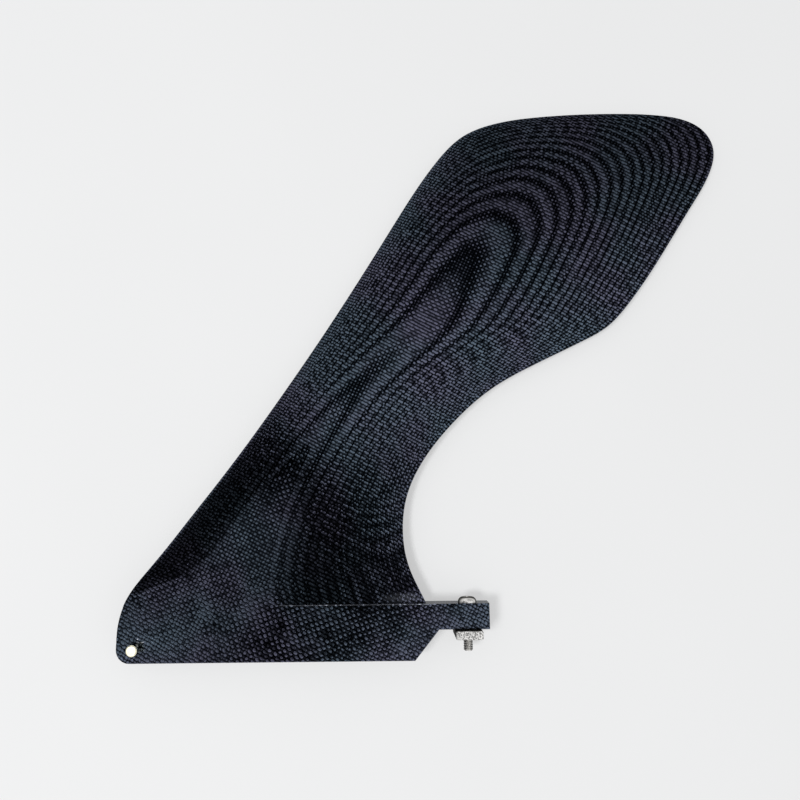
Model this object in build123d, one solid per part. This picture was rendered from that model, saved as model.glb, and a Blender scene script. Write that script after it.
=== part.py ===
from build123d import *
import os
from math import cos, pi, sin

# Centre fin for a paddleboard, lying on its side.
# X runs aft along the base, Y runs from the base to the tip, Z runs through the panel's thickness.
# The origin is the middle of the cross pin. Lengths are in millimetres.

# Panel and base tab
panel_thickness = 9.3
base_length = 158.75
tab_depth = 23.3
tab_corner_radius = 6.0
tab_edge_break = 0.4
ramp_run = 10.4
lug_length = 21.6
lug_height = 10.7

# Cross pin, pressed through the front of the tab
pin_diameter = 4.76
pin_length = 18.0
pin_end_chamfer = 0.4
pin_setback = 8.25
pin_height = 6.0
pin_hole_clearance = 0.04

# Blade planform. Each station is a share of the blade's depth above the shoulder and a distance aft of the
# tab's front. Both edges start or end at the tip's apex.
blade_depth = 229.3
leading_edge = (
    (0.005, 2.6),
    (0.069, 12.1),
    (0.136, 23.7),
    (0.250, 43.6),
    (0.390, 66.3),
    (0.561, 92.1),
    (0.739, 117.1),
    (0.844, 132.0),
    (0.897, 140.7),
    (0.951, 153.1),
    (0.978, 167.6),
    (0.994, 191.0),
    (1.0, 224.2),
)
trailing_edge = (
    (1.0, 224.2),
    (0.995, 249.6),
    (0.984, 261.2),
    (0.960, 269.8),
    (0.919, 274.0),
    (0.866, 271.4),
    (0.786, 260.5),
    (0.682, 244.9),
    (0.581, 228.1),
    (0.531, 216.7),
    (0.507, 206.9),
    (0.458, 183.4),
    (0.411, 163.8),
    (0.339, 144.7),
    (0.269, 131.7),
    (0.200, 124.1),
    (0.140, 122.1),
    (0.064, 124.8),
    (0.0, 131.7),
)
front_straight_height = 11.0
tip_corner_share = 0.951

# Blade foil, as half thicknesses either side of the panel's middle
crest_share = 0.33
crest_half_thickness = 4.88
crest_taper = 0.0038
edge_half_thickness = 0.45
nose_exponent = 0.43
aft_exponent = 2.0
tip_taper_length = 72.0
tip_exponent = 0.46
nose_runout = 30.0
tip_bulge_exponent = 4.0

# Machine screw through the rear lug
screw_diameter = 4.0
screw_length = 20.0
screw_end_chamfer = 0.5
screw_setback = 9.1
screw_hole_clearance = 0.25
head_diameter = 8.0
head_height = 2.3
head_edge_radius = 1.8
recess_width = 4.0
recess_slot = 0.9
recess_depth = 1.4
recess_taper = 12.0

# Plate nut under the lug
nut_width = 11.6
nut_length = 17.5
nut_thickness = 3.6
nut_corner_radius = 0.8
nut_edge_break = 0.3
nut_thread_clearance = 0.05

# Number of foil sections and of points in each, and how closely the skin follows them
foil_sections = 40
section_points = 26
foil_tolerance = 0.005

# Places that follow from the dimensions
half_thickness = panel_thickness / 2
front_x = -pin_setback
bottom_y = -pin_height
shoulder_y = bottom_y + tab_depth
tip_y = shoulder_y + blade_depth
lug_end_x = front_x + base_length
lug_bottom_y = shoulder_y - lug_height
lug_start_x = lug_end_x - lug_length
ramp_start_x = lug_start_x - ramp_run
screw_x = lug_end_x - screw_setback
screw_tip_y = shoulder_y - screw_length


def planform_point(share, setback):
    """Place a planform station in the fin's plane."""
    return Vector(front_x + setback, shoulder_y + share * blade_depth)


def leading_curve():
    """Front edge, from the straight front of the tab to the tip's apex."""
    start = Vector(front_x, bottom_y + front_straight_height)
    stations = [planform_point(share, setback) for share, setback in leading_edge]
    return Edge.make_spline([start] + stations, tangents=[(0, 1), (1, 0)], scale=False)


def trailing_curve():
    """Rear edge, from the tip's apex round the rear corner and the bay to the shoulder."""
    stations = [planform_point(share, setback) for share, setback in trailing_edge]
    foot_direction = (stations[-1] - stations[-2]).normalized()
    return Edge.make_spline(stations, tangents=[(1, 0), foot_direction], scale=False)


def parameter_where(curve, passed, low=0.0, high=1.0):
    """Halve an interval of a curve down to the place where a test first fails."""
    for _ in range(30):
        middle = (low + high) / 2
        if passed(curve @ middle):
            low = middle
        else:
            high = middle
    return (low + high) / 2


def edge_at_height(leading, trailing, height):
    """Return where the leading and the trailing edge cross a height."""
    front = leading @ parameter_where(leading, lambda point: point.Y < height)
    rear = trailing @ parameter_where(trailing, lambda point: point.Y > height)
    return front.X, rear.X


def tip_height(leading, trailing, x):
    """Return the height of the tip edge at a place along it."""
    if x < (leading @ 1).X:
        return (leading @ parameter_where(leading, lambda point: point.X < x)).Y
    return (trailing @ parameter_where(trailing, lambda point: point.X < x, 0.0, 0.3)).Y


def foil_half_thickness(share, height, tip_distance):
    """Half thickness at a share of the chord, a height, and a distance below the tip edge."""
    if share < crest_share:
        rise = (1 - ((crest_share - share) / crest_share) ** 2) ** nose_exponent
        runout = min(max((height - shoulder_y) / nose_runout, 0), 1)
        rise = 1 - (1 - rise) * runout**2 * (3 - 2 * runout)
    else:
        rise = 1 - ((share - crest_share) / (1 - crest_share)) ** aft_exponent
    tip_share = min(max(tip_distance / tip_taper_length, 0), 1)
    rise *= (1 - (1 - tip_share) ** 2) ** tip_exponent
    crest = crest_half_thickness - crest_taper * (height - shoulder_y)
    return edge_half_thickness + (crest - edge_half_thickness) * rise


def foil_skin(leading, trailing):
    """Upper skin of the foil, a grid of points from the leading edge aft and from the root to the tip."""
    corner_y = shoulder_y + tip_corner_share * blade_depth
    tip_front_x, tip_rear_x = edge_at_height(leading, trailing, corner_y)
    shares = [1 - cos(pi / 2 * i / section_points) for i in range(section_points + 1)]
    tip_edge = [tip_height(leading, trailing, tip_front_x + share * (tip_rear_x - tip_front_x)) for share in shares]
    rows = []
    for j in range(foil_sections + 1):
        climb = sin(pi / 2 * j / foil_sections)
        level = shoulder_y + climb * (corner_y - shoulder_y)
        front_edge_x, rear_edge_x = edge_at_height(leading, trailing, level)
        row = []
        for share, edge_y in zip(shares, tip_edge):
            x = front_edge_x + share * (rear_edge_x - front_edge_x)
            y = level + climb**tip_bulge_exponent * (edge_y - corner_y)
            row.append(Vector(x, y, foil_half_thickness(share, y, edge_y - y)))
        rows.append(row)
    return Face.make_surface_from_array_of_points(rows, tol=foil_tolerance, min_deg=3, max_deg=3)


def foil():
    """Both skins of the foil, closed round the edge by narrow walls."""
    upper = foil_skin(leading_curve(), trailing_curve())
    lower = upper.mirror(Plane.XY)
    walls = []
    for edge in upper.edges():
        walls.append(Face.make_surface_from_curves(edge, edge.mirror(Plane.XY)))
    return Solid(Shell([upper, lower] + walls))


def blade():
    """Foiled blade above the shoulder, no thicker than the panel it is cut from."""
    reach = 4 * (base_length + blade_depth)
    return foil() & Box(reach, reach, panel_thickness)


def tab():
    """Base tab at the panel's full thickness, with its ramp and rear lug."""
    leading = leading_curve()
    front_end = parameter_where(leading, lambda point: point.Y < shoulder_y)
    front = leading.trim(0, front_end)
    outline = Polyline(
        front @ 0,
        (front_x, bottom_y),
        (ramp_start_x, bottom_y),
        (lug_start_x, lug_bottom_y),
        (lug_end_x, lug_bottom_y),
        (lug_end_x, shoulder_y),
        front @ 1,
    )
    face = make_face(outline.edges() + [front])
    lower_corner = face.vertices().sort_by_distance((front_x, bottom_y))[0]
    face = fillet(lower_corner, tab_corner_radius)
    body = extrude(face, half_thickness, both=True)
    rims = body.faces().filter_by(Axis.Z).edges()
    return chamfer([edge for edge in rims if edge.center().Y < shoulder_y - tab_edge_break], tab_edge_break)


def fin():
    """Panel with its foiled blade, tab and lug, drilled for the cross pin and the screw."""
    body = tab() + blade()
    pin_hole = Cylinder(pin_diameter / 2 + pin_hole_clearance, 2 * panel_thickness)
    screw_hole = Pos(screw_x, shoulder_y, 0) * Rot(90, 0, 0) * Cylinder(
        screw_diameter / 2 + screw_hole_clearance, 3 * lug_height
    )
    return body - pin_hole - screw_hole


def cross_pin():
    """Plain brass pin that stands out equally on both sides of the tab."""
    pin = Cylinder(pin_diameter / 2, pin_length)
    return chamfer(pin.edges().filter_by(GeomType.CIRCLE), pin_end_chamfer)


def fin_screw():
    """Pan head machine screw seated on the lug, its shank running down through the nut."""
    radius = screw_diameter / 2
    head_radius = head_diameter / 2
    crown_y = shoulder_y + head_height
    profile = Polyline(
        (screw_x, crown_y),
        (screw_x, screw_tip_y),
        (screw_x + radius - screw_end_chamfer, screw_tip_y),
        (screw_x + radius, screw_tip_y + screw_end_chamfer),
        (screw_x + radius, shoulder_y),
        (screw_x + head_radius, shoulder_y),
        (screw_x + head_radius, crown_y),
        close=True,
    )
    half_section = make_face(profile)
    crown_corner = half_section.vertices().sort_by_distance((screw_x + head_radius, crown_y))[0]
    half_section = fillet(crown_corner, head_edge_radius)
    body = revolve(half_section, Axis((screw_x, 0, 0), (0, 1, 0)))
    cross = Rectangle(recess_width, recess_slot) + Rectangle(recess_slot, recess_width)
    crown = Plane(origin=(screw_x, crown_y, 0), z_dir=(0, -1, 0))
    return body - extrude(crown * cross, recess_depth, taper=recess_taper)


def plate_nut():
    """Round-cornered plate under the lug, wider than the tab so that it catches in a fin box's track."""
    centre_y = lug_bottom_y - nut_thickness / 2
    plate = Pos(screw_x, centre_y, 0) * Box(nut_width, nut_thickness, nut_length)
    plate = fillet(plate.edges().filter_by(Axis.Z), nut_corner_radius)
    plate = chamfer(plate.faces().filter_by(Axis.Z).edges(), nut_edge_break)
    bore = Pos(screw_x, centre_y, 0) * Rot(90, 0, 0) * Cylinder(
        screw_diameter / 2 + nut_thread_clearance, 2 * nut_thickness
    )
    return plate - bore


os.makedirs("parts", exist_ok=True)
for name, shape in (
    ("fin", fin()),
    ("cross_pin", cross_pin()),
    ("fin_screw", fin_screw()),
    ("plate_nut", plate_nut()),
):
    shape.label = name
    export_step(shape, f"parts/{name}.step")
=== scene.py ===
"""Looks of a paddleboard centre fin: laminate panel, brass cross pin, steel screw and plate nut."""

from math import cos, hypot, pi, radians, sin

import bpy
import numpy as np
from mathutils import Matrix, Vector


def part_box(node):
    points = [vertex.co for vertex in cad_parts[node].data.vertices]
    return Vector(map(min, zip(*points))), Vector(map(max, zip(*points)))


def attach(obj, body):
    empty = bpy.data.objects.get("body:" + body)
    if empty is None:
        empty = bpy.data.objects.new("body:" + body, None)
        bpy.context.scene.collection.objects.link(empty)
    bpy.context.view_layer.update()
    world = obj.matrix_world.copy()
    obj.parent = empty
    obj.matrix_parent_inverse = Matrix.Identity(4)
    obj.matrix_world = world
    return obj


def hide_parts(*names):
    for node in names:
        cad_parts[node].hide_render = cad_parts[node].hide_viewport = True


bl_info = {
    "name": "Paddleboard Fin",
    "version": (1, 0, 0),
    "blender": (4, 5, 0),
    "location": "View3D > Sidebar > Fin",
    "description": "Builds a paddleboard fin with its pin, screw and nut, and the table it lies on",
    "category": "Add Mesh",
}

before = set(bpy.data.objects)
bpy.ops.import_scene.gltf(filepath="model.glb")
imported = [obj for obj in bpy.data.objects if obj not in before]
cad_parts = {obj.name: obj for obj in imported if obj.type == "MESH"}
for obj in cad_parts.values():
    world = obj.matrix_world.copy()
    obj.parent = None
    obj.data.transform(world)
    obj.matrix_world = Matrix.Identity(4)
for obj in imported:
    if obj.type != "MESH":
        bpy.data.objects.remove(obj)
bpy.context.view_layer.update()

MM = 0.001
TAB_LOW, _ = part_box("fin")
PIN_LOW, PIN_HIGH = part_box("cross_pin")
SCREW_LOW, SCREW_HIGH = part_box("fin_screw")
NUT_LOW, NUT_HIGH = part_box("plate_nut")

# Blade planform: share of the blade's depth above the shoulder, and millimetres behind the
# tab's front
LEADING_EDGE = (
    (0.005, 2.6), (0.069, 12.1), (0.136, 23.7), (0.250, 43.6), (0.390, 66.3), (0.561, 92.1),
    (0.739, 117.1), (0.844, 132.0), (0.897, 140.7), (0.951, 153.1), (0.978, 167.6),
    (0.994, 191.0), (1.0, 224.2),
)
TRAILING_EDGE = (
    (1.0, 224.2), (0.995, 249.6), (0.984, 261.2), (0.960, 269.8), (0.919, 274.0),
    (0.866, 271.4), (0.786, 260.5), (0.682, 244.9), (0.581, 228.1), (0.531, 216.7),
    (0.507, 206.9), (0.458, 183.4), (0.411, 163.8), (0.339, 144.7), (0.269, 131.7),
    (0.200, 124.1), (0.140, 122.1), (0.064, 124.8), (0.0, 131.7),
)
TIP_CORNER_SHARE = 0.951

# Blade foil, lengths in metres. The taper is the half thickness lost for each unit of height.
CREST_SHARE = 0.33
CREST_TAPER = 0.0038
NOSE_EXPONENT = 0.43
NOSE_RUNOUT = 0.030
TIP_EXPONENT = 0.46
TIP_TAPER_LENGTH = 0.072
TIP_BULGE_EXPONENT = 4
FOIL_COLUMNS = 150
FOIL_ROWS = 220

# Tab, lug and holes, in metres
FRONT_STRAIGHT = 0.011
TAB_END_X = 0.1505
TAB_CORNER_RADIUS = 0.006
RAMP_RUN = 0.0104
LUG_LENGTH = 0.0216
LUG_HEIGHT = 0.0107
SCREW_HOLE_DROP = 0.005
PIN_CLEARANCE = 0.04 * MM
SCREW_CLEARANCE = 0.25 * MM
PIN_CUTTER_REACH = 0.03
SCREW_CUTTER_REACH = 0.04
BORE_CUTTER_REACH = 0.02

# Differences below which two places of a mesh count as the same
SAME_POINT = 1e-7
SAME_SIDE = 1e-6

# Share of a ply by which the stack is shifted against the panel's middle
PLY_START = 0.5

COOL_WHITE = (0.97, 0.98, 1.0)


# ---- property groups ----


def length_property(name, description, default):
    return bpy.props.FloatProperty(
        name=name, description=description, default=default, unit="LENGTH")


def angle_property(name, description, degrees):
    return bpy.props.FloatProperty(
        name=name, description=description, default=radians(degrees), subtype="ANGLE")


def colour_property(name, description, default):
    return bpy.props.FloatVectorProperty(
        name=name, description=description, size=3, subtype="COLOR", default=default)


class FinPanelSettings(bpy.types.PropertyGroup):
    """Sizes and colours of the laminate panel."""

    panel_thickness: length_property("Panel thickness", "Thickness of the uncut panel", 0.0093)
    tab_depth: length_property("Tab depth", "Height of the tab below the blade", 0.0233)
    blade_depth: length_property("Blade depth", "Height of the blade above the tab", 0.2293)
    crest_half_thickness: length_property(
        "Crest half thickness", "Half the foil's greatest thickness at the root", 0.00488)
    edge_half_thickness: length_property(
        "Edge half thickness", "Half the thickness of the blade's edges", 0.00045)
    edge_break: length_property("Edge break", "Width of the broken edges of the tab", 0.0004)
    ply_thickness: length_property("Ply thickness", "Thickness of one ply of cloth", 0.00022)
    yarn_pitch: length_property("Yarn pitch", "Distance between neighbouring yarns", 0.00145)
    warp_angle: angle_property("Warp angle", "Direction across the warp yarns", 61.8)
    weft_angle: angle_property("Weft angle", "Direction across the weft yarns", -25.6)
    yarn_colour: colour_property("Yarn", "Colour of the cut yarns", (0.104, 0.120, 0.160))
    resin_colour: colour_property(
        "Resin", "Colour of the resin between yarns", (0.0010, 0.0013, 0.0020))


class CrossPinSettings(bpy.types.PropertyGroup):
    """Finish of the cross pin."""

    brass_colour: colour_property("Brass", "Colour of the polished brass", (0.93, 0.89, 0.68))
    end_break: length_property("End break", "Width of the broken edge of each end", 0.0004)


class FinScrewSettings(bpy.types.PropertyGroup):
    """Thread, head and finish of the machine screw."""

    thread_pitch: length_property("Thread pitch", "Advance of the thread in one turn", 0.0007)
    thread_depth: length_property("Thread depth", "Depth of the thread's groove", 0.00042)
    shank_radius: length_property("Shank radius", "Outer radius of the thread", 0.002)
    head_height: length_property("Head height", "Height of the pan head", 0.0023)
    crown_round: length_property("Crown round", "Radius of the head's upper edge", 0.0021)
    recess_width: length_property("Recess width", "Width of the cross recess", 0.004)
    recess_slot: length_property("Recess slot", "Width of each arm of the recess", 0.0009)
    recess_depth: length_property("Recess depth", "Depth of the recess", 0.0014)
    steel_colour: colour_property("Steel", "Colour of the stainless steel", (0.95, 0.93, 0.89))


class PlateNutSettings(bpy.types.PropertyGroup):
    """Sizes of the plate nut."""

    corner_round: length_property("Corner round", "Radius of the plate's long corners", 0.0008)
    edge_break: length_property(
        "Edge break", "Width of the broken edges of the plate's ends", 0.0003)
    bore_radius: length_property("Bore radius", "Radius of the threaded hole", 0.00205)


class StageSettings(bpy.types.PropertyGroup):
    """Table and camera."""

    table_colour: colour_property("Table", "Colour of the table", (0.78, 0.785, 0.79))
    glow_colour: colour_property(
        "Table glow", "Plain level that part of the table shows", (0.93, 0.93, 0.93))
    camera_height: length_property("Camera height", "Height of the camera above the fin", 0.3054)
    camera_tilt: angle_property("Camera tilt", "Lean of the camera's view towards the tip", 9.23)
    camera_roll: angle_property("Camera roll", "Turn of the picture about the view", 0.58)
    focal_length: bpy.props.FloatProperty(
        name="Focal length", description="Focal length of the lens in millimetres", default=30.6)


# ---- shader expressions ----


class Wire:
    """A socket of the tree, so that values can be written as expressions."""

    def __init__(self, tree, socket):
        self.tree = tree
        self.socket = socket

    def _math(self, operation, *values):
        node = self.tree.nodes.new("ShaderNodeMath")
        node.operation = operation
        for slot, value in zip(node.inputs, values):
            if isinstance(value, Wire):
                self.tree.links.new(value.socket, slot)
            else:
                slot.default_value = value
        return Wire(self.tree, node.outputs[0])

    def __add__(self, other):
        return self._math("ADD", self, other)

    def __radd__(self, other):
        return self._math("ADD", other, self)

    def __sub__(self, other):
        return self._math("SUBTRACT", self, other)

    def __rsub__(self, other):
        return self._math("SUBTRACT", other, self)

    def __mul__(self, other):
        return self._math("MULTIPLY", self, other)

    def __rmul__(self, other):
        return self._math("MULTIPLY", other, self)

    def __truediv__(self, other):
        return self._math("DIVIDE", self, other)

    def __rtruediv__(self, other):
        return self._math("DIVIDE", other, self)

    def __pow__(self, other):
        return self._math("POWER", self, other)

    def __neg__(self):
        return self._math("MULTIPLY", self, -1.0)

    def floor(self):
        return self._math("FLOOR", self)

    def fraction(self):
        return self._math("FRACT", self)

    def size(self):
        return self._math("ABSOLUTE", self)

    def root(self):
        return self._math("SQRT", self)

    def least(self, other):
        return self._math("MINIMUM", self, other)

    def most(self, other):
        return self._math("MAXIMUM", self, other)

    def cosine(self):
        return self._math("COSINE", self)

    def turn(self, other):
        """Angle of the point (other, self)."""
        return self._math("ARCTAN2", self, other)

    def wave(self):
        """1 at each whole number, 0 halfway between them."""
        return 0.5 + 0.5 * (self * (2 * pi)).cosine()

    def ramp(self, low, high):
        """Smooth step from 0 at low to 1 at high."""
        node = self.tree.nodes.new("ShaderNodeMapRange")
        node.interpolation_type = "SMOOTHSTEP"
        self.tree.links.new(self.socket, node.inputs["Value"])
        node.inputs["From Min"].default_value = low
        node.inputs["From Max"].default_value = high
        return Wire(self.tree, node.outputs["Result"])


class Nodes:
    """A node tree and the few ways that its nodes are made."""

    def __init__(self, tree):
        self.tree = tree

    def node(self, kind, settings=None, values=None, output=0):
        """Add a node, set it, then its sockets' values or links, and return one output."""
        made = self.tree.nodes.new(kind)
        for key, value in (settings or {}).items():
            setattr(made, key, value)
        for key, value in (values or {}).items():
            if isinstance(value, Wire):
                self.tree.links.new(value.socket, made.inputs[key])
            else:
                made.inputs[key].default_value = value
        return Wire(self.tree, made.outputs[output])

    def parts(self, vector):
        """The three parts of a vector, as values."""
        split = self.node("ShaderNodeSeparateXYZ", values={0: vector})
        return [Wire(self.tree, out) for out in split.socket.node.outputs]

    def vector(self, x, y, z):
        return self.node("ShaderNodeCombineXYZ", values={0: x, 1: y, 2: z})

    def blend(self, share, first, second):
        """Mix two colours by a share."""
        first, second = [
            side if isinstance(side, Wire) else (*side, 1.0) for side in (first, second)]
        return self.node(
            "ShaderNodeMix", {"data_type": "RGBA"}, {0: share, 6: first, 7: second}, output=2)

    def ray(self, kind):
        """1 for rays of a kind, Camera or Glossy."""
        return self.node("ShaderNodeLightPath", output=f"Is {kind} Ray")


class Finish(Nodes):
    """A material, its output and the patterns that run on its Object coordinates."""

    def __init__(self, name):
        self.material = bpy.data.materials.new(name)
        self.material.use_nodes = True
        super().__init__(self.material.node_tree)
        self.tree.nodes.clear()
        self.output = self.tree.nodes.new("ShaderNodeOutputMaterial")
        self.place = self.node("ShaderNodeTexCoord", output="Object")

    def axes(self, scale=1.0):
        """Object coordinates as three values, times a scale."""
        return [part * scale for part in self.parts(self.place)]

    def normal_axes(self):
        """Direction that the surface faces, as three values."""
        return self.parts(self.node("ShaderNodeNewGeometry", output="Normal"))

    def noise(self, scale, detail, where=None):
        return self.node(
            "ShaderNodeTexNoise",
            values={"Vector": where or self.place, "Scale": scale, "Detail": detail})

    def chance(self, key, value):
        """Random number from 0 to 1 for each value, W, or for each place, Vector."""
        dimensions = {"W": "1D", "Vector": "3D"}[key]
        return self.node(
            "ShaderNodeTexWhiteNoise", {"noise_dimensions": dimensions}, {key: value})

    def bump(self, height, distance, strength):
        return self.node(
            "ShaderNodeBump",
            values={"Height": height, "Distance": distance, "Strength": strength})

    def show(self, shader):
        self.tree.links.new(shader.socket, self.output.inputs["Surface"])

    def surface(self, values):
        """Finish with one Principled shader."""
        self.show(self.node("ShaderNodeBsdfPrincipled", values=values))
        return self.material

    def glow_where_seen(self, colour, share):
        """Show a share of the surface at a plain level to the camera and in reflections."""
        seen = self.ray("Camera").most(self.ray("Glossy"))
        lit = Wire(self.tree, self.output.inputs["Surface"].links[0].from_socket)
        glow = self.node("ShaderNodeEmission", values={"Color": (*colour, 1.0)})
        self.show(self.node("ShaderNodeMixShader", values={0: seen * share, 1: lit, 2: glow}))


def spot(x, y, middle, reach):
    """Round patch that fades from 1 at its middle to 0 at its reach."""
    away = ((x - middle[0]) / reach[0]) ** 2.0 + ((y - middle[1]) / reach[1]) ** 2.0
    return 1.0 - away.ramp(0.0, 1.0)


def distance(x, y, middle):
    """How far the point (x, y) lies from a middle."""
    return ((x - middle[0]) ** 2.0 + (y - middle[1]) ** 2.0).root()


def dimmed(colour, share):
    return tuple(part * share for part in colour)


# ---- finishes ----


def yarn_cut(own, other, level, lift):
    """Depth of the cut into a yarn, whose path climbs and dips over the yarns that it crosses.

    The depth, and the level of the cut within its ply, are shares of the ply's thickness.
    """
    half_height, half_width = 0.30, 0.42
    nearest = (own + 0.5).floor()
    aside = own - nearest
    turn = 1.0 - 4.0 * (nearest * 0.5).fraction()
    middle = 0.5 + lift * turn * (other * pi).cosine()
    swell = half_height * (1.0 - (aside / half_width) ** 2.0).most(0.0).root()
    return swell - (level - middle).size()


def weave_light(made, sizes, upright):
    """Brightness of the cut plies: a plain weave in each ply, dark resin between the yarns, and
    painted shade and light by the way the surface faces.
    """
    x, y, z = made.axes()
    skin_rise = (0.00460, 0.00464)
    fan_middle, fan_start = (0.078, 0.110), 2.1
    yarn_lift = 0.27

    # The foil cuts through the plies. The flat skins are nearly parallel to them, so there a
    # slow noise and a fan about one point choose the level of the cut.
    wander = made.noise(45.0, 1.0) - 0.5
    drift = made.noise(32.0, 1.0) - 0.5
    rise = made.noise(95.0, 1.0) - 0.5
    ripple = made.noise(420.0, 1.0) - 0.5
    skin = z.ramp(*skin_rise) - (-z).ramp(*skin_rise)
    fan = ((y - fan_middle[1]).turn(x - fan_middle[0]) + fan_start) * 1.6 * y.ramp(0.018, 0.050)
    ply = z / sizes.ply_thickness + PLY_START + drift * 0.3 + skin * (0.22 + 0.85 * rise + fan)
    layer = ply.floor()
    level = ply.fraction()

    # Bare tab and root: 1 on the tab's flat skin, 0 on the blade
    bare = z.size().ramp(0.0041, 0.00464) * y.ramp(0.040, 0.014)

    # Places across the yarns, in pitches. Each ply's cloth is shifted by its own amount.
    warp_shift = made.chance("W", layer)
    weft_shift = made.chance("W", layer + 40.5)
    across_warp, across_weft = [
        (x * cos(angle) + y * sin(angle)) / sizes.yarn_pitch
        for angle in (sizes.warp_angle, sizes.weft_angle)]
    warp = across_warp + wander * 0.6 + warp_shift * 0.35 + ripple * (0.30 + 0.45 * bare)
    weft = across_weft + drift * 0.6 + weft_shift * 0.35 - ripple * (0.30 + 0.45 * bare)

    warp_cut = yarn_cut(warp, weft, level, yarn_lift)
    weft_cut = yarn_cut(weft, warp, level, -yarn_lift)
    warp_share = (warp_cut - weft_cut).ramp(-0.10, 0.10)
    seam = (level * (2 * pi)).cosine() * y.ramp(0.090, 0.050)
    covered = warp_cut.most(weft_cut).ramp(-0.06, 0.12).most(bare * 0.10).most(seam * 0.45)
    gaps = (0.16 + 0.84 * warp.wave()) * (0.5 + 0.5 * weft.wave())
    gaps = gaps + 0.04 * bare * (1.0 - gaps)

    # Dark rings between the plies, deeper towards the tip and shallower on steep places
    steep = (1.0 - upright).ramp(0.01, 0.06)
    ring_depth = (0.22 + 0.44 * y.ramp(0.060, 0.180)) * (1.0 - 0.6 * steep)
    even = 1.0 - ring_depth * level.wave()

    # Each crossing has its own brightness, and each yarn its fibres
    chance = made.chance("Vector", made.vector((warp + 0.5).floor(), (weft + 0.5).floor(), layer))
    patches = made.noise(130.0, 2.0) - 0.5
    uneven = 0.45 + 1.1 * chance + bare * (0.08 + 1.6 * patches)
    fibres = made.noise(1.0, 2.0, made.vector(across_warp * 5.0, across_weft * 5.0, z * 3000.0))
    warp_light = 1.6 + 0.6 * warp_shift
    weft_light = (0.35 + 0.5 * weft_shift) * (1.0 - 0.45 * bare)
    yarn_light = weft_light + warp_share * (warp_light - weft_light)

    light = covered * even * gaps * uneven * yarn_light * (0.5 + fibres)
    # Painted shade and light by the way the surface faces: places that do not face up are darkened,
    # and sloped places are made a little brighter; the bare skin is brighter for its own weave
    painted_facing_shade = upright.ramp(0.35, 0.85)
    light = light * (0.25 + 0.75 * painted_facing_shade) * (1.0 + 1.30 * bare + 0.20 * steep)
    return 1.12 * light ** 1.25


def wear_and_painted_highlights(made, facing_y):
    """Pale painted highlights on the walls that face +Y, on the shoulder's crest and above the
    shoulder near the bay, and the scuffs by the pin, as a share from 0 to 1.
    """
    x, y, z = made.axes()
    ragged = made.noise(1.0, 3.0, made.vector(x * 500.0, y * 900.0, z * 900.0)).ramp(0.30, 0.65)
    # Painted highlight: the walls that face +Y, towards the tip, are made pale
    painted_wall_highlight = facing_y.ramp(0.45, 0.80)

    # Painted highlight: a pale line along the shoulder's crest, broken up by a ragged noise
    crest_y = 0.01722
    crest_highlight = (y - crest_y).size().ramp(0.00040, 0.00012) * x.ramp(0.058, 0.066)
    crest_highlight = crest_highlight * z.ramp(0.0044, 0.0046) * x.ramp(0.129, 0.124) * (0.45 + 0.55 * ragged)

    # Arc and nick by the pin, and a painted highlight above the shoulder near the bay
    arc_middle, arc_radius, nick_middle = (0.0021, 0.0050), 0.0025, (0.0009, 0.0041)
    arc = (distance(x, y, arc_middle) - arc_radius).size().ramp(0.00024, 0.00008)
    arc = arc * (y - arc_middle[1]).ramp(-0.0018, -0.0022)
    nick = distance(x, y, nick_middle).ramp(0.00045, 0.00015)
    bay_highlight = spot(x, y, (0.1130, 0.0196), (0.0110, 0.0026)) * (0.04 + 0.16 * ragged)

    scuffs_and_highlights = crest_highlight.most(arc).most(nick).most(bay_highlight) * z.ramp(0.0, 0.001)
    return (painted_wall_highlight * (0.20 + 0.25 * ragged)).most(scuffs_and_highlights).least(1.0)


def laminate_finish(sizes):
    """Cut woven laminate under a satin surface, with a slow change of tint, its wear and its
    painted highlights.
    """
    made = Finish("woven_laminate")
    _, facing_y, facing_z = made.normal_axes()
    light = weave_light(made, sizes, facing_z.size())
    base = made.blend(light.least(1.0), tuple(sizes.resin_colour), tuple(sizes.yarn_colour))
    cloud = made.noise(28.0, 2.0).ramp(0.35, 0.65)
    tint = made.blend(cloud, (0.90, 1.03, 1.0), (1.10, 0.96, 1.05))
    colour = made.node("ShaderNodeVectorMath", {"operation": "MULTIPLY"}, {0: base, 1: tint})
    # Pale colour for the painted highlights and for the scuffs by the pin
    colour = made.blend(wear_and_painted_highlights(made, facing_y), colour, (0.47, 0.50, 0.58))
    return made.surface({
        "Base Color": colour,
        "Roughness": 0.14 - 0.03 * light.least(1.0),
        "Normal": made.bump(light, 0.00002, 0.5),
        "Metallic": 0.93,
        "Specular IOR Level": 0.0,
        "Specular Tint": (0.45, 0.45, 0.45, 1.0),
    })


def brass_finish(sizes):
    """Polished brass with turning marks on its ends and a light tarnish."""
    made = Finish("pin_brass")
    x, y, _ = made.axes()
    radius = (x * x + y * y).root()
    rings = made.noise(1.0, 2.0, made.vector(radius * 9000.0, 0.0, 0.0))
    tarnish = made.noise(700.0, 3.0)
    return made.surface({
        "Base Color": made.blend(
            tarnish.ramp(0.45, 0.75), tuple(sizes.brass_colour), (0.84, 0.76, 0.54)),
        "Roughness": 0.05 + 0.07 * tarnish + 0.03 * rings,
        "Normal": made.bump(rings, 0.00001, 0.4),
        "Metallic": 1.0,
    })


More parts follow.
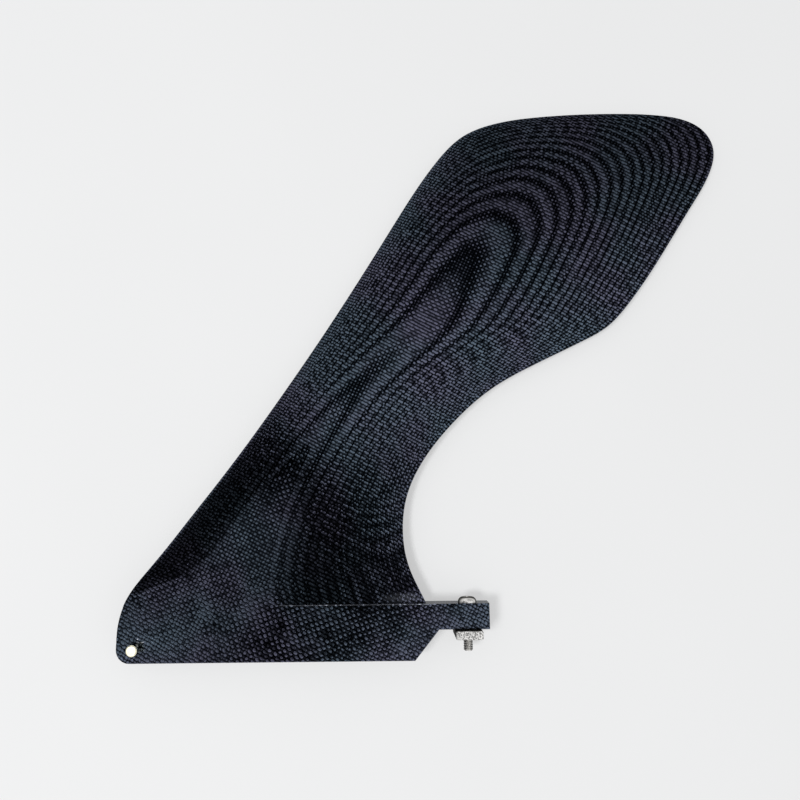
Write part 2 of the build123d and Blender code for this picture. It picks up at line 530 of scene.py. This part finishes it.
def steel_finish(name, colour, grain_scale, speckle, bright_from):
    """Stainless steel with drawn grain and dulled specks, and painted shade that darkens the sides
    which do not face up.
    """
    blend_width, painted_side_shade = 0.35, 0.16
    made = Finish(name)
    x, y, z = made.axes()
    grain = made.noise(1.0, 3.0, made.vector(x * 500.0, y * grain_scale, z * 500.0))
    specks = made.noise(1500.0, 2.0).ramp(0.40, 0.60)
    # Painted shade: faces that do not face up get a dark copy of the colour
    upright = made.normal_axes()[2].size().ramp(bright_from - blend_width, bright_from)
    dull = made.blend(specks, dimmed(colour, speckle), tuple(colour))
    return made.surface({
        "Base Color": made.blend(upright, dimmed(colour, painted_side_shade), dull),
        "Roughness": 0.22 + 0.16 * grain + 0.10 * specks,
        "Normal": made.bump(grain + 0.6 * specks, 0.00002, 0.35),
        "Metallic": 1.0,
        "Specular Tint": (0.05, 0.05, 0.05, 1.0),
    })


# ---- modelling helpers ----


def clear_selection():
    """Leave edit mode with nothing selected, so that an operator acts on its own piece only."""
    if bpy.context.object and bpy.context.object.mode != "OBJECT":
        bpy.ops.object.mode_set(mode="OBJECT")
    bpy.ops.object.select_all(action="DESELECT")


def pick(piece):
    clear_selection()
    bpy.context.view_layer.objects.active = piece
    piece.select_set(True)


def select_parts(piece, vertices=None, edges=None):
    """Select the vertices or the edges whose places pass a test, and stay in edit mode."""
    pick(piece)
    bpy.ops.object.mode_set(mode="EDIT")
    bpy.ops.mesh.select_all(action="DESELECT")
    bpy.ops.mesh.select_mode(type="VERT" if vertices else "EDGE")
    bpy.ops.object.mode_set(mode="OBJECT")
    mesh = piece.data
    if vertices:
        for vertex in mesh.vertices:
            vertex.select = bool(vertices(vertex.co))
    else:
        for edge in mesh.edges:
            ends = [mesh.vertices[i].co for i in edge.vertices]
            edge.select = bool(edges(*ends))
    bpy.ops.object.mode_set(mode="EDIT")


def bevel_edges(piece, test, width, segments):
    """Bevel the edges whose two ends pass a test."""
    select_parts(piece, edges=test)
    bpy.ops.mesh.bevel(offset=width, segments=segments, affect="EDGES")
    bpy.ops.object.mode_set(mode="OBJECT")


def same_level(a, b):
    """Whether two points lie equally high across the panel."""
    return abs(a.z - b.z) < SAME_POINT


def settle(piece):
    """Put the piece's place into its mesh."""
    pick(piece)
    bpy.ops.object.transform_apply(location=True, rotation=True, scale=True)


def combine(piece, tool, operation):
    """Join a piece with another mesh or cut it with that, which is used up."""
    modifier = piece.modifiers.new(operation.lower(), "BOOLEAN")
    modifier.operation = operation
    modifier.solver = "EXACT"
    modifier.object = tool
    pick(piece)
    bpy.ops.object.modifier_apply(modifier=modifier.name)
    bpy.data.objects.remove(tool)


def smooth(piece, degrees):
    """Shade smooth, apart from edges that turn by more than an angle."""
    pick(piece)
    bpy.ops.object.shade_smooth_by_angle(angle=radians(degrees))


def face_outwards(piece):
    pick(piece)
    bpy.ops.object.mode_set(mode="EDIT")
    bpy.ops.mesh.select_all(action="SELECT")
    bpy.ops.mesh.normals_make_consistent(inside=False)
    bpy.ops.object.mode_set(mode="OBJECT")


def dress(piece, material, slot, *nodes):
    """Give a piece its material and its body, and hide the solids that it stands for. The slot is
    not used.
    """
    piece.data.materials.clear()
    piece.data.materials.append(material)
    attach(piece, "root")
    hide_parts(*nodes)


def rod(radius, reach, centre, along_y=False, vertices=64):
    """Plain rod along z, or along y."""
    clear_selection()
    turned = (pi / 2, 0, 0) if along_y else (0, 0, 0)
    bpy.ops.mesh.primitive_cylinder_add(
        vertices=vertices, radius=radius, depth=reach, location=centre, rotation=turned)
    return bpy.context.object


def block(size, centre):
    """Plain block with its place in its mesh."""
    clear_selection()
    bpy.ops.mesh.primitive_cube_add(size=1, location=centre)
    made = bpy.context.object
    made.scale = size
    settle(made)
    return made


# ---- the panel's curves and foil ----


def smooth_curve(points, first_run, last_run, per_run=48):
    """Cubic spline with continuous bend through the points, with its end directions given."""
    points = np.array(points, float)
    steps = np.linalg.norm(np.diff(points, axis=0), axis=1)
    count = len(points)
    matrix = np.zeros((count, count))
    right = np.zeros((count, 2))
    matrix[0, 0] = matrix[-1, -1] = 1.0
    right[0], right[-1] = first_run, last_run
    for i in range(1, count - 1):
        before, after = steps[i - 1], steps[i]
        matrix[i, i - 1 : i + 2] = after, 2 * (before + after), before
        right[i] = 3 * (
            after * (points[i] - points[i - 1]) / before
            + before * (points[i + 1] - points[i]) / after
        )
    slopes = np.linalg.solve(matrix, right)
    samples = []
    for i, step in enumerate(steps):
        t = np.linspace(0, 1, per_run, endpoint=False)[:, None]
        samples.append(
            (2 * t**3 - 3 * t**2 + 1) * points[i]
            + (t**3 - 2 * t**2 + t) * step * slopes[i]
            + (3 * t**2 - 2 * t**3) * points[i + 1]
            + (t**3 - t**2) * step * slopes[i + 1]
        )
    samples.append(points[-1:])
    return np.vstack(samples)


class Planform:
    """Front and rear edges of the blade, in metres."""

    def __init__(self, sizes):
        self.front_x = TAB_LOW.x
        self.shoulder_y = TAB_LOW.y + sizes.tab_depth
        self.depth = sizes.blade_depth
        start = (self.front_x, TAB_LOW.y + FRONT_STRAIGHT)
        leading = [start] + [self.station(*pair) for pair in LEADING_EDGE]
        trailing = [self.station(*pair) for pair in TRAILING_EDGE]
        foot = np.subtract(trailing[-1], trailing[-2])
        self.leading = smooth_curve(leading, (0, 1), (1, 0))
        self.trailing = smooth_curve(trailing, (1, 0), foot / np.linalg.norm(foot))
        self.corner_y = self.shoulder_y + TIP_CORNER_SHARE * self.depth

    def station(self, share, setback):
        return (self.front_x + setback * MM, self.shoulder_y + share * self.depth)

    def ends_at(self, height):
        """Where the two edges cross a height."""
        front = np.interp(height, self.leading[:, 1], self.leading[:, 0])
        rear = np.interp(height, self.trailing[::-1, 1], self.trailing[::-1, 0])
        return front, rear

    def tip_heights(self, x):
        """Height of the tip edge over places along it."""
        lowest_share = 0.8
        widest = int(np.argmax(self.trailing[:, 0]))
        over = np.vstack([self.leading, self.trailing[1 : widest + 1]])
        climbing = over[:, 1] > self.shoulder_y + lowest_share * self.depth
        return np.interp(x, over[climbing, 0], over[climbing, 1])


def foil_half_thickness(sizes, shoulder_y, share, height, tip_distance):
    """Half thickness over arrays of chord shares, heights and distances below the tip edge."""
    before = np.clip((CREST_SHARE - share) / CREST_SHARE, 0, 1)
    behind = np.clip((share - CREST_SHARE) / (1 - CREST_SHARE), 0, 1)
    nose = (1 - before**2) ** NOSE_EXPONENT
    runout = np.clip((height - shoulder_y) / NOSE_RUNOUT, 0, 1)
    nose = 1 - (1 - nose) * runout**2 * (3 - 2 * runout)
    rise = np.where(share < CREST_SHARE, nose, 1 - behind**2)
    tip_share = np.clip(tip_distance / TIP_TAPER_LENGTH, 0, 1)
    rise = rise * (1 - (1 - tip_share) ** 2) ** TIP_EXPONENT
    crest = sizes.crest_half_thickness - CREST_TAPER * (height - shoulder_y)
    edge = sizes.edge_half_thickness
    return np.minimum(edge + (crest - edge) * rise, sizes.panel_thickness / 2)


def blade_mesh(sizes, plan):
    """Foiled blade as a closed mesh whose foot reaches into the tab.

    Its skins are a free form that no operator gives, so a grid's points are moved to the foil.
    """
    foot_reach, foot_inset = 0.0012, 0.0003
    share = 1 - np.cos(pi / 2 * np.arange(FOIL_COLUMNS + 1) / FOIL_COLUMNS)
    climb = np.sin(pi / 2 * np.arange(FOIL_ROWS + 1) / FOIL_ROWS)
    front, rear = plan.ends_at(plan.corner_y)
    tip_edge = plan.tip_heights(front + share * (rear - front))
    grid = np.zeros((FOIL_ROWS + 2, FOIL_COLUMNS + 1, 3))
    for j, part in enumerate(climb):
        level = plan.shoulder_y + part * (plan.corner_y - plan.shoulder_y)
        front, rear = plan.ends_at(level)
        height = level + part**TIP_BULGE_EXPONENT * (tip_edge - plan.corner_y)
        grid[j + 1, :, 0] = front + share * (rear - front)
        grid[j + 1, :, 1] = height
        grid[j + 1, :, 2] = foil_half_thickness(
            sizes, plan.shoulder_y, share, height, tip_edge - height)
    grid[0] = grid[1]
    grid[0, :, 0] = np.clip(
        grid[1, :, 0], grid[1, 0, 0] + foot_inset, grid[1, -1, 0] - foot_inset)
    grid[0, :, 1] -= foot_reach
    grid[0, :, 2] = np.maximum(grid[1, :, 2] - foot_inset, foot_inset)
    clear_selection()
    bpy.ops.mesh.primitive_grid_add(
        x_subdivisions=FOIL_COLUMNS, y_subdivisions=FOIL_ROWS + 1, size=1)
    blade = bpy.context.object
    blade.name = "blade"
    lower = blade.copy()
    lower.data = blade.data.copy()
    bpy.context.scene.collection.objects.link(lower)
    for skin, side in ((blade, 1), (lower, -1)):
        skin.data.vertices.foreach_set("co", (grid.reshape(-1, 3) * (1, 1, side)).ravel())
        skin.data.update()
    pick(blade)
    lower.select_set(True)
    bpy.ops.object.join()
    bpy.ops.object.mode_set(mode="EDIT")
    bpy.ops.mesh.select_all(action="DESELECT")
    bpy.ops.mesh.select_mode(type="EDGE")
    bpy.ops.mesh.select_non_manifold(extend=False)
    bpy.ops.mesh.bridge_edge_loops(number_cuts=1)
    bpy.ops.object.mode_set(mode="OBJECT")
    face_outwards(blade)
    return blade


def tab_mesh(sizes, plan):
    """Base tab with its ramp and lug: a face, drawn out through the panel and edge-broken."""
    corner_points, front_step = 13, 6
    lug_start, lug_bottom = TAB_END_X - LUG_LENGTH, plan.shoulder_y - LUG_HEIGHT
    front_x, bottom, radius = TAB_LOW.x, TAB_LOW.y, TAB_CORNER_RADIUS
    outline = [
        (front_x + radius * (1 - sin(turn)), bottom + radius * (1 - cos(turn)))
        for turn in np.linspace(pi / 2, 0, corner_points)
    ]
    outline += [(lug_start - RAMP_RUN, bottom), (lug_start, lug_bottom), (TAB_END_X, lug_bottom)]
    outline += [(TAB_END_X, plan.shoulder_y)]
    front = plan.leading[plan.leading[:, 1] < plan.shoulder_y]
    front_end = plan.ends_at(plan.shoulder_y)[0]
    outline += [(front_end, plan.shoulder_y)] + [tuple(point) for point in front[::-front_step]]
    half = sizes.panel_thickness / 2
    clear_selection()
    bpy.ops.mesh.primitive_circle_add(vertices=len(outline), radius=0.01, fill_type="NGON")
    tab = bpy.context.object
    tab.name = "tab"
    for vertex, (x, y) in zip(tab.data.vertices, outline):
        vertex.co = (x, y, -half)
    pick(tab)
    bpy.ops.object.mode_set(mode="EDIT")
    bpy.ops.mesh.select_all(action="SELECT")
    bpy.ops.mesh.extrude_region_move(
        TRANSFORM_OT_translate={"value": (0, 0, sizes.panel_thickness)})
    bpy.ops.object.mode_set(mode="OBJECT")
    face_outwards(tab)
    break_limit = plan.shoulder_y - sizes.edge_break

    def rim(a, b):
        return same_level(a, b) and (a.y + b.y) / 2 < break_limit

    bevel_edges(tab, rim, sizes.edge_break, 3)
    return tab


# ---- operators ----


class PADDLEFIN_OT_panel(bpy.types.Operator):
    """Model the laminate panel: foiled blade, tab, lug and holes"""

    bl_idname = "paddlefin.panel"
    bl_label = "Laminate Panel"

    def execute(self, context):
        sizes = context.scene.paddlefin_panel
        plan = Planform(sizes)
        panel = tab_mesh(sizes, plan)
        combine(panel, blade_mesh(sizes, plan), "UNION")
        pin_radius = (PIN_HIGH.x - PIN_LOW.x) / 2
        pin_hole = rod(pin_radius + PIN_CLEARANCE, PIN_CUTTER_REACH, (PIN_LOW + PIN_HIGH) / 2)
        combine(panel, pin_hole, "DIFFERENCE")
        screw_radius = context.scene.paddlefin_screw.shank_radius + SCREW_CLEARANCE
        screw_x = ((SCREW_LOW + SCREW_HIGH) / 2).x
        in_lug = (screw_x, plan.shoulder_y - SCREW_HOLE_DROP, 0)
        screw_hole = rod(screw_radius, SCREW_CUTTER_REACH, in_lug, along_y=True)
        combine(panel, screw_hole, "DIFFERENCE")
        panel.name = "fin_panel"
        smooth(panel, degrees=14)
        dress(panel, laminate_finish(sizes), "laminate", "fin")
        return {"FINISHED"}


class PADDLEFIN_OT_pin(bpy.types.Operator):
    """Model the brass cross pin"""

    bl_idname = "paddlefin.pin"
    bl_label = "Cross Pin"

    def execute(self, context):
        sizes = context.scene.paddlefin_pin
        radius = (PIN_HIGH.x - PIN_LOW.x) / 2
        pin = rod(radius, PIN_HIGH.z - PIN_LOW.z, (PIN_LOW + PIN_HIGH) / 2, vertices=96)
        pin.name = "brass_cross_pin"
        settle(pin)
        bevel_edges(pin, same_level, sizes.end_break, 4)
        smooth(pin, degrees=8)
        dress(pin, brass_finish(sizes), "pin_brass", "cross_pin")
        return {"FINISHED"}


class PADDLEFIN_OT_screw(bpy.types.Operator):
    """Model the machine screw with its thread, pan head and cross recess"""

    bl_idname = "paddlefin.screw"
    bl_label = "Machine Screw"

    def execute(self, context):
        sizes = context.scene.paddlefin_screw
        middle_x = (SCREW_LOW.x + SCREW_HIGH.x) / 2
        crown_y = SCREW_HIGH.y
        seat_y = crown_y - sizes.head_height
        head = self.pan_head(sizes, middle_x, crown_y, seat_y)
        combine(head, self.threaded_shank(sizes, middle_x, seat_y), "UNION")
        head.name = "pan_head_screw"
        smooth(head, degrees=30)
        steel = steel_finish(
            "screw_steel", sizes.steel_colour, grain_scale=2500.0, speckle=0.95, bright_from=0.72)
        dress(head, steel, "screw_steel", "fin_screw")
        return {"FINISHED"}

    def pan_head(self, sizes, middle_x, crown_y, seat_y):
        """Head with a rounded crown, cut by the two arms of its recess, which taper inwards."""
        taper, inner_reach = 0.72, 0.001
        head = rod(
            (SCREW_HIGH.x - SCREW_LOW.x) / 2, sizes.head_height,
            (middle_x, (seat_y + crown_y) / 2, 0), along_y=True, vertices=96)
        settle(head)

        def crown_edge(a, b):
            outer = hypot(a.x - middle_x, a.z) > inner_reach
            return outer and min(a.y, b.y) > crown_y - SAME_SIDE

        def deep(point):
            return point.y < crown_y - sizes.recess_depth + SAME_SIDE

        bevel_edges(head, crown_edge, sizes.crown_round, 10)
        slot, width = sizes.recess_slot, sizes.recess_width
        for size_x, size_z in ((slot, width), (width, slot)):
            arm = block((size_x, 2 * sizes.recess_depth, size_z), (middle_x, crown_y, 0))
            select_parts(arm, vertices=deep)
            bpy.ops.transform.resize(value=(taper, 1, taper))
            bpy.ops.object.mode_set(mode="OBJECT")
            combine(head, arm, "DIFFERENCE")
        return head

    def threaded_shank(self, sizes, middle_x, seat_y):
        """Roll a grid up into a rod whose surface follows the thread's helix."""
        around, per_pitch = 48, 12
        root_reach, end_break = 0.0004, 0.0005
        plain_length, runout_length, groove_half_width = 0.0015, 0.0012, 0.42
        length = seat_y + root_reach - SCREW_LOW.y
        rows = int(length / sizes.thread_pitch * per_pitch)
        clear_selection()
        bpy.ops.mesh.primitive_grid_add(x_subdivisions=around, y_subdivisions=rows, size=1)
        shank = bpy.context.object
        shank.name = "shank"
        for vertex in shank.data.vertices:
            turn = (vertex.co.x + 0.5) * 2 * pi
            drop = (vertex.co.y + 0.5) * length
            wave = (drop / sizes.thread_pitch - turn / (2 * pi)) % 1.0
            groove = max(0.0, 1 - abs(wave - 0.5) / groove_half_width)
            runout = min(1.0, max(0.0, (length - drop - plain_length) / runout_length))
            radius = sizes.shank_radius - sizes.thread_depth * groove * runout
            radius = min(radius, sizes.shank_radius - end_break + drop)
            vertex.co = (middle_x + radius * sin(turn), SCREW_LOW.y + drop, radius * cos(turn))
        pick(shank)
        bpy.ops.object.mode_set(mode="EDIT")
        bpy.ops.mesh.select_all(action="SELECT")
        bpy.ops.mesh.remove_doubles(threshold=SAME_POINT)
        bpy.ops.mesh.select_all(action="DESELECT")
        bpy.ops.mesh.select_mode(type="EDGE")
        bpy.ops.mesh.select_non_manifold(extend=False)
        bpy.ops.mesh.fill_holes(sides=0)
        bpy.ops.object.mode_set(mode="OBJECT")
        face_outwards(shank)
        return shank


class PADDLEFIN_OT_nut(bpy.types.Operator):
    """Model the plate nut under the lug"""

    bl_idname = "paddlefin.nut"
    bl_label = "Plate Nut"

    def execute(self, context):
        sizes = context.scene.paddlefin_nut
        middle = (NUT_LOW + NUT_HIGH) / 2
        size = NUT_HIGH - NUT_LOW
        nut = block(size, middle)

        def long_corner(a, b):
            return abs(a.z - b.z) > size.z / 2

        def end_rim(a, b):
            return same_level(a, b) and abs(a.z) > size.z / 2 - SAME_SIDE

        bevel_edges(nut, long_corner, sizes.corner_round, 6)
        bevel_edges(nut, end_rim, sizes.edge_break, 3)
        bore = rod(sizes.bore_radius, BORE_CUTTER_REACH, middle, along_y=True)
        combine(nut, bore, "DIFFERENCE")
        nut.name = "steel_plate_nut"
        smooth(nut, degrees=7)
        colour = context.scene.paddlefin_screw.steel_colour
        steel = steel_finish(
            "nut_steel", colour, grain_scale=500.0, speckle=0.25, bright_from=0.97)
        dress(nut, steel, "nut_steel", "plate_nut")
        return {"FINISHED"}


class PADDLEFIN_OT_stage(bpy.types.Operator):
    """Set the table, the lights and the camera"""

    bl_idname = "paddlefin.stage"
    bl_label = "Stage"

    def execute(self, context):
        sizes = context.scene.paddlefin_stage
        self.table(sizes)
        self.room(context)
        self.key_light()
        self.card()
        self.camera(context, sizes)
        return {"FINISHED"}

    def table(self, sizes):
        """Table in the plane that the pin, the nut and the blade's belly rest on."""
        touch, normal = Vector((0.00007, 0.00198, -0.009)), Vector((-0.0010, -0.0247, 0.9997))
        gap = Vector((0, 0, -0.00001))
        cloud_share, glow_share = 0.975, 0.50
        clear_selection()
        bpy.ops.mesh.primitive_plane_add(size=3.0)
        table = bpy.context.object
        table.name = "table"
        table.rotation_euler = normal.to_track_quat("Z", "Y").to_euler()
        table.location = touch + gap
        made = Finish("table_top")
        shade = tuple(sizes.table_colour)
        clouds = made.noise(6.0, 2.0).ramp(0.3, 0.7)
        made.surface({
            "Base Color": made.blend(clouds, dimmed(shade, cloud_share), shade),
            "Normal": made.bump(made.noise(900.0, 3.0), 0.00004, 0.3),
            "Roughness": 0.85,
            "Specular IOR Level": 0.0,
        })
        made.glow_where_seen(tuple(sizes.glow_colour), glow_share)
        table.data.materials.append(made.material)

    def room(self, context):
        """Even room light, and a ceiling for reflections that is darker towards the right."""
        world = bpy.data.worlds.new("room")
        context.scene.world = world
        world.use_nodes = True
        room = Nodes(world.node_tree)
        x, y, z = room.parts(room.node("ShaderNodeTexCoord", output="Generated"))
        high = z.most(0.02)
        right = (x / high).ramp(-0.35, 0.05)
        low = 1.0 - (y / high).ramp(0.15, 0.60)
        ceiling = 0.05 + 0.86 * (1.0 - right) + right * (0.35 + 0.77 * low)
        glossy = room.ray("Glossy")
        strength = glossy * ceiling + (1.0 - glossy) * 0.52 + room.ray("Camera") * 0.30
        tint = room.blend(glossy, (0.98, 0.99, 1.0), COOL_WHITE)
        background = world.node_tree.nodes["Background"]
        world.node_tree.links.new(tint.socket, background.inputs["Color"])
        world.node_tree.links.new(strength.socket, background.inputs["Strength"])

    def key_light(self):
        """Lamp that gives the soft shadows, unseen itself."""
        place, target = Vector((-0.62, -0.27, 1.65)), Vector((0.1, 0.1, 0.0))
        lamp = bpy.data.lights.new("key", "AREA")
        lamp.shape = "SQUARE"
        lamp.size = 0.45
        lamp.energy = 19.0
        holder = bpy.data.objects.new("key", lamp)
        bpy.context.scene.collection.objects.link(holder)
        holder.location = place
        holder.rotation_euler = (target - place).to_track_quat("-Z", "Y").to_euler()
        holder.visible_camera = False
        holder.visible_glossy = False

    def card(self):
        """Dark card high over the root, seen in reflections only, with a few paler places."""
        card_height, card_size = 0.305, 1.6
        millimetres = 1000.0
        clear_selection()
        bpy.ops.mesh.primitive_plane_add(size=card_size, location=(0.0, 0.0, card_height))
        card = bpy.context.object
        card.name = "card"
        settle(card)
        made = Finish("card_cloth")
        x, y, _ = made.axes(millimetres)
        edge = (142.0 - 0.75 * x).most(92.0 - 0.22 * x)
        inside = (edge - y).ramp(-10.0, 10.0) * (181.0 + 1.38 * y - x).ramp(-14.0, 14.0)
        patch = spot(x, y, (-14.0, 36.0), (78.0, 52.0))
        left = (-x).ramp(0.0, 60.0) * (-y).ramp(-12.0, 40.0)
        bright = spot(x, y, (-112.5, -56.5), (17.0, 17.0))
        strength = 0.02 + 0.95 * patch + 0.80 * left + 1.03 * bright
        glow = made.node(
            "ShaderNodeEmission", values={"Color": (*COOL_WHITE, 1.0), "Strength": strength})
        clear = made.node("ShaderNodeBsdfTransparent")
        made.show(made.node("ShaderNodeMixShader", values={0: inside, 1: clear, 2: glow}))
        card.data.materials.append(made.material)
        card.visible_camera = False
        card.visible_diffuse = False
        card.visible_shadow = False

    def camera(self, context, sizes):
        place = Vector((0.11266, 0.05678, sizes.camera_height))
        tilt, roll = sizes.camera_tilt, sizes.camera_roll
        picture_up = Vector((sin(roll), cos(roll), 0))
        picture_right = Vector((cos(roll), -sin(roll), 0))
        up = picture_up * cos(tilt) + Vector((0, 0, sin(tilt)))
        back = Vector((0, 0, cos(tilt))) - picture_up * sin(tilt)
        lens = bpy.data.cameras.new("camera")
        lens.lens = sizes.focal_length
        lens.sensor_width = 36.0
        lens.clip_start = 0.01
        holder = bpy.data.objects.new("camera", lens)
        context.scene.collection.objects.link(holder)
        turn = Matrix((picture_right, up, back)).transposed()
        holder.matrix_world = Matrix.Translation(place) @ turn.to_4x4()
        context.scene.camera = holder
        context.scene.view_settings.view_transform = "Standard"


class PADDLEFIN_PT_sidebar(bpy.types.Panel):
    """Sizes and steps of the fin"""

    bl_idname = "PADDLEFIN_PT_sidebar"
    bl_label = "Paddleboard Fin"
    bl_space_type = "VIEW_3D"
    bl_region_type = "UI"
    bl_category = "Fin"

    def draw(self, context):
        for name, operator in STEPS:
            column = self.layout.box().column(align=True)
            settings = getattr(context.scene, name)
            for key in settings.__annotations__:
                column.prop(settings, key)
            column.operator(operator.bl_idname)


STEPS = (
    ("paddlefin_stage", PADDLEFIN_OT_stage),
    ("paddlefin_panel", PADDLEFIN_OT_panel),
    ("paddlefin_pin", PADDLEFIN_OT_pin),
    ("paddlefin_screw", PADDLEFIN_OT_screw),
    ("paddlefin_nut", PADDLEFIN_OT_nut),
)
SETTINGS = {
    "paddlefin_stage": StageSettings,
    "paddlefin_panel": FinPanelSettings,
    "paddlefin_pin": CrossPinSettings,
    "paddlefin_screw": FinScrewSettings,
    "paddlefin_nut": PlateNutSettings,
}
CLASSES = (*SETTINGS.values(), *(operator for _, operator in STEPS), PADDLEFIN_PT_sidebar)


def register():
    for item in CLASSES:
        bpy.utils.register_class(item)
    for name, group in SETTINGS.items():
        setattr(bpy.types.Scene, name, bpy.props.PointerProperty(type=group))


def unregister():
    for name in SETTINGS:
        delattr(bpy.types.Scene, name)
    for item in reversed(CLASSES):
        bpy.utils.unregister_class(item)


def main():
    register()
    bpy.ops.paddlefin.stage()
    bpy.ops.paddlefin.panel()
    bpy.ops.paddlefin.pin()
    bpy.ops.paddlefin.screw()
    bpy.ops.paddlefin.nut()
    clear_selection()


if __name__ == "__main__":
    main()
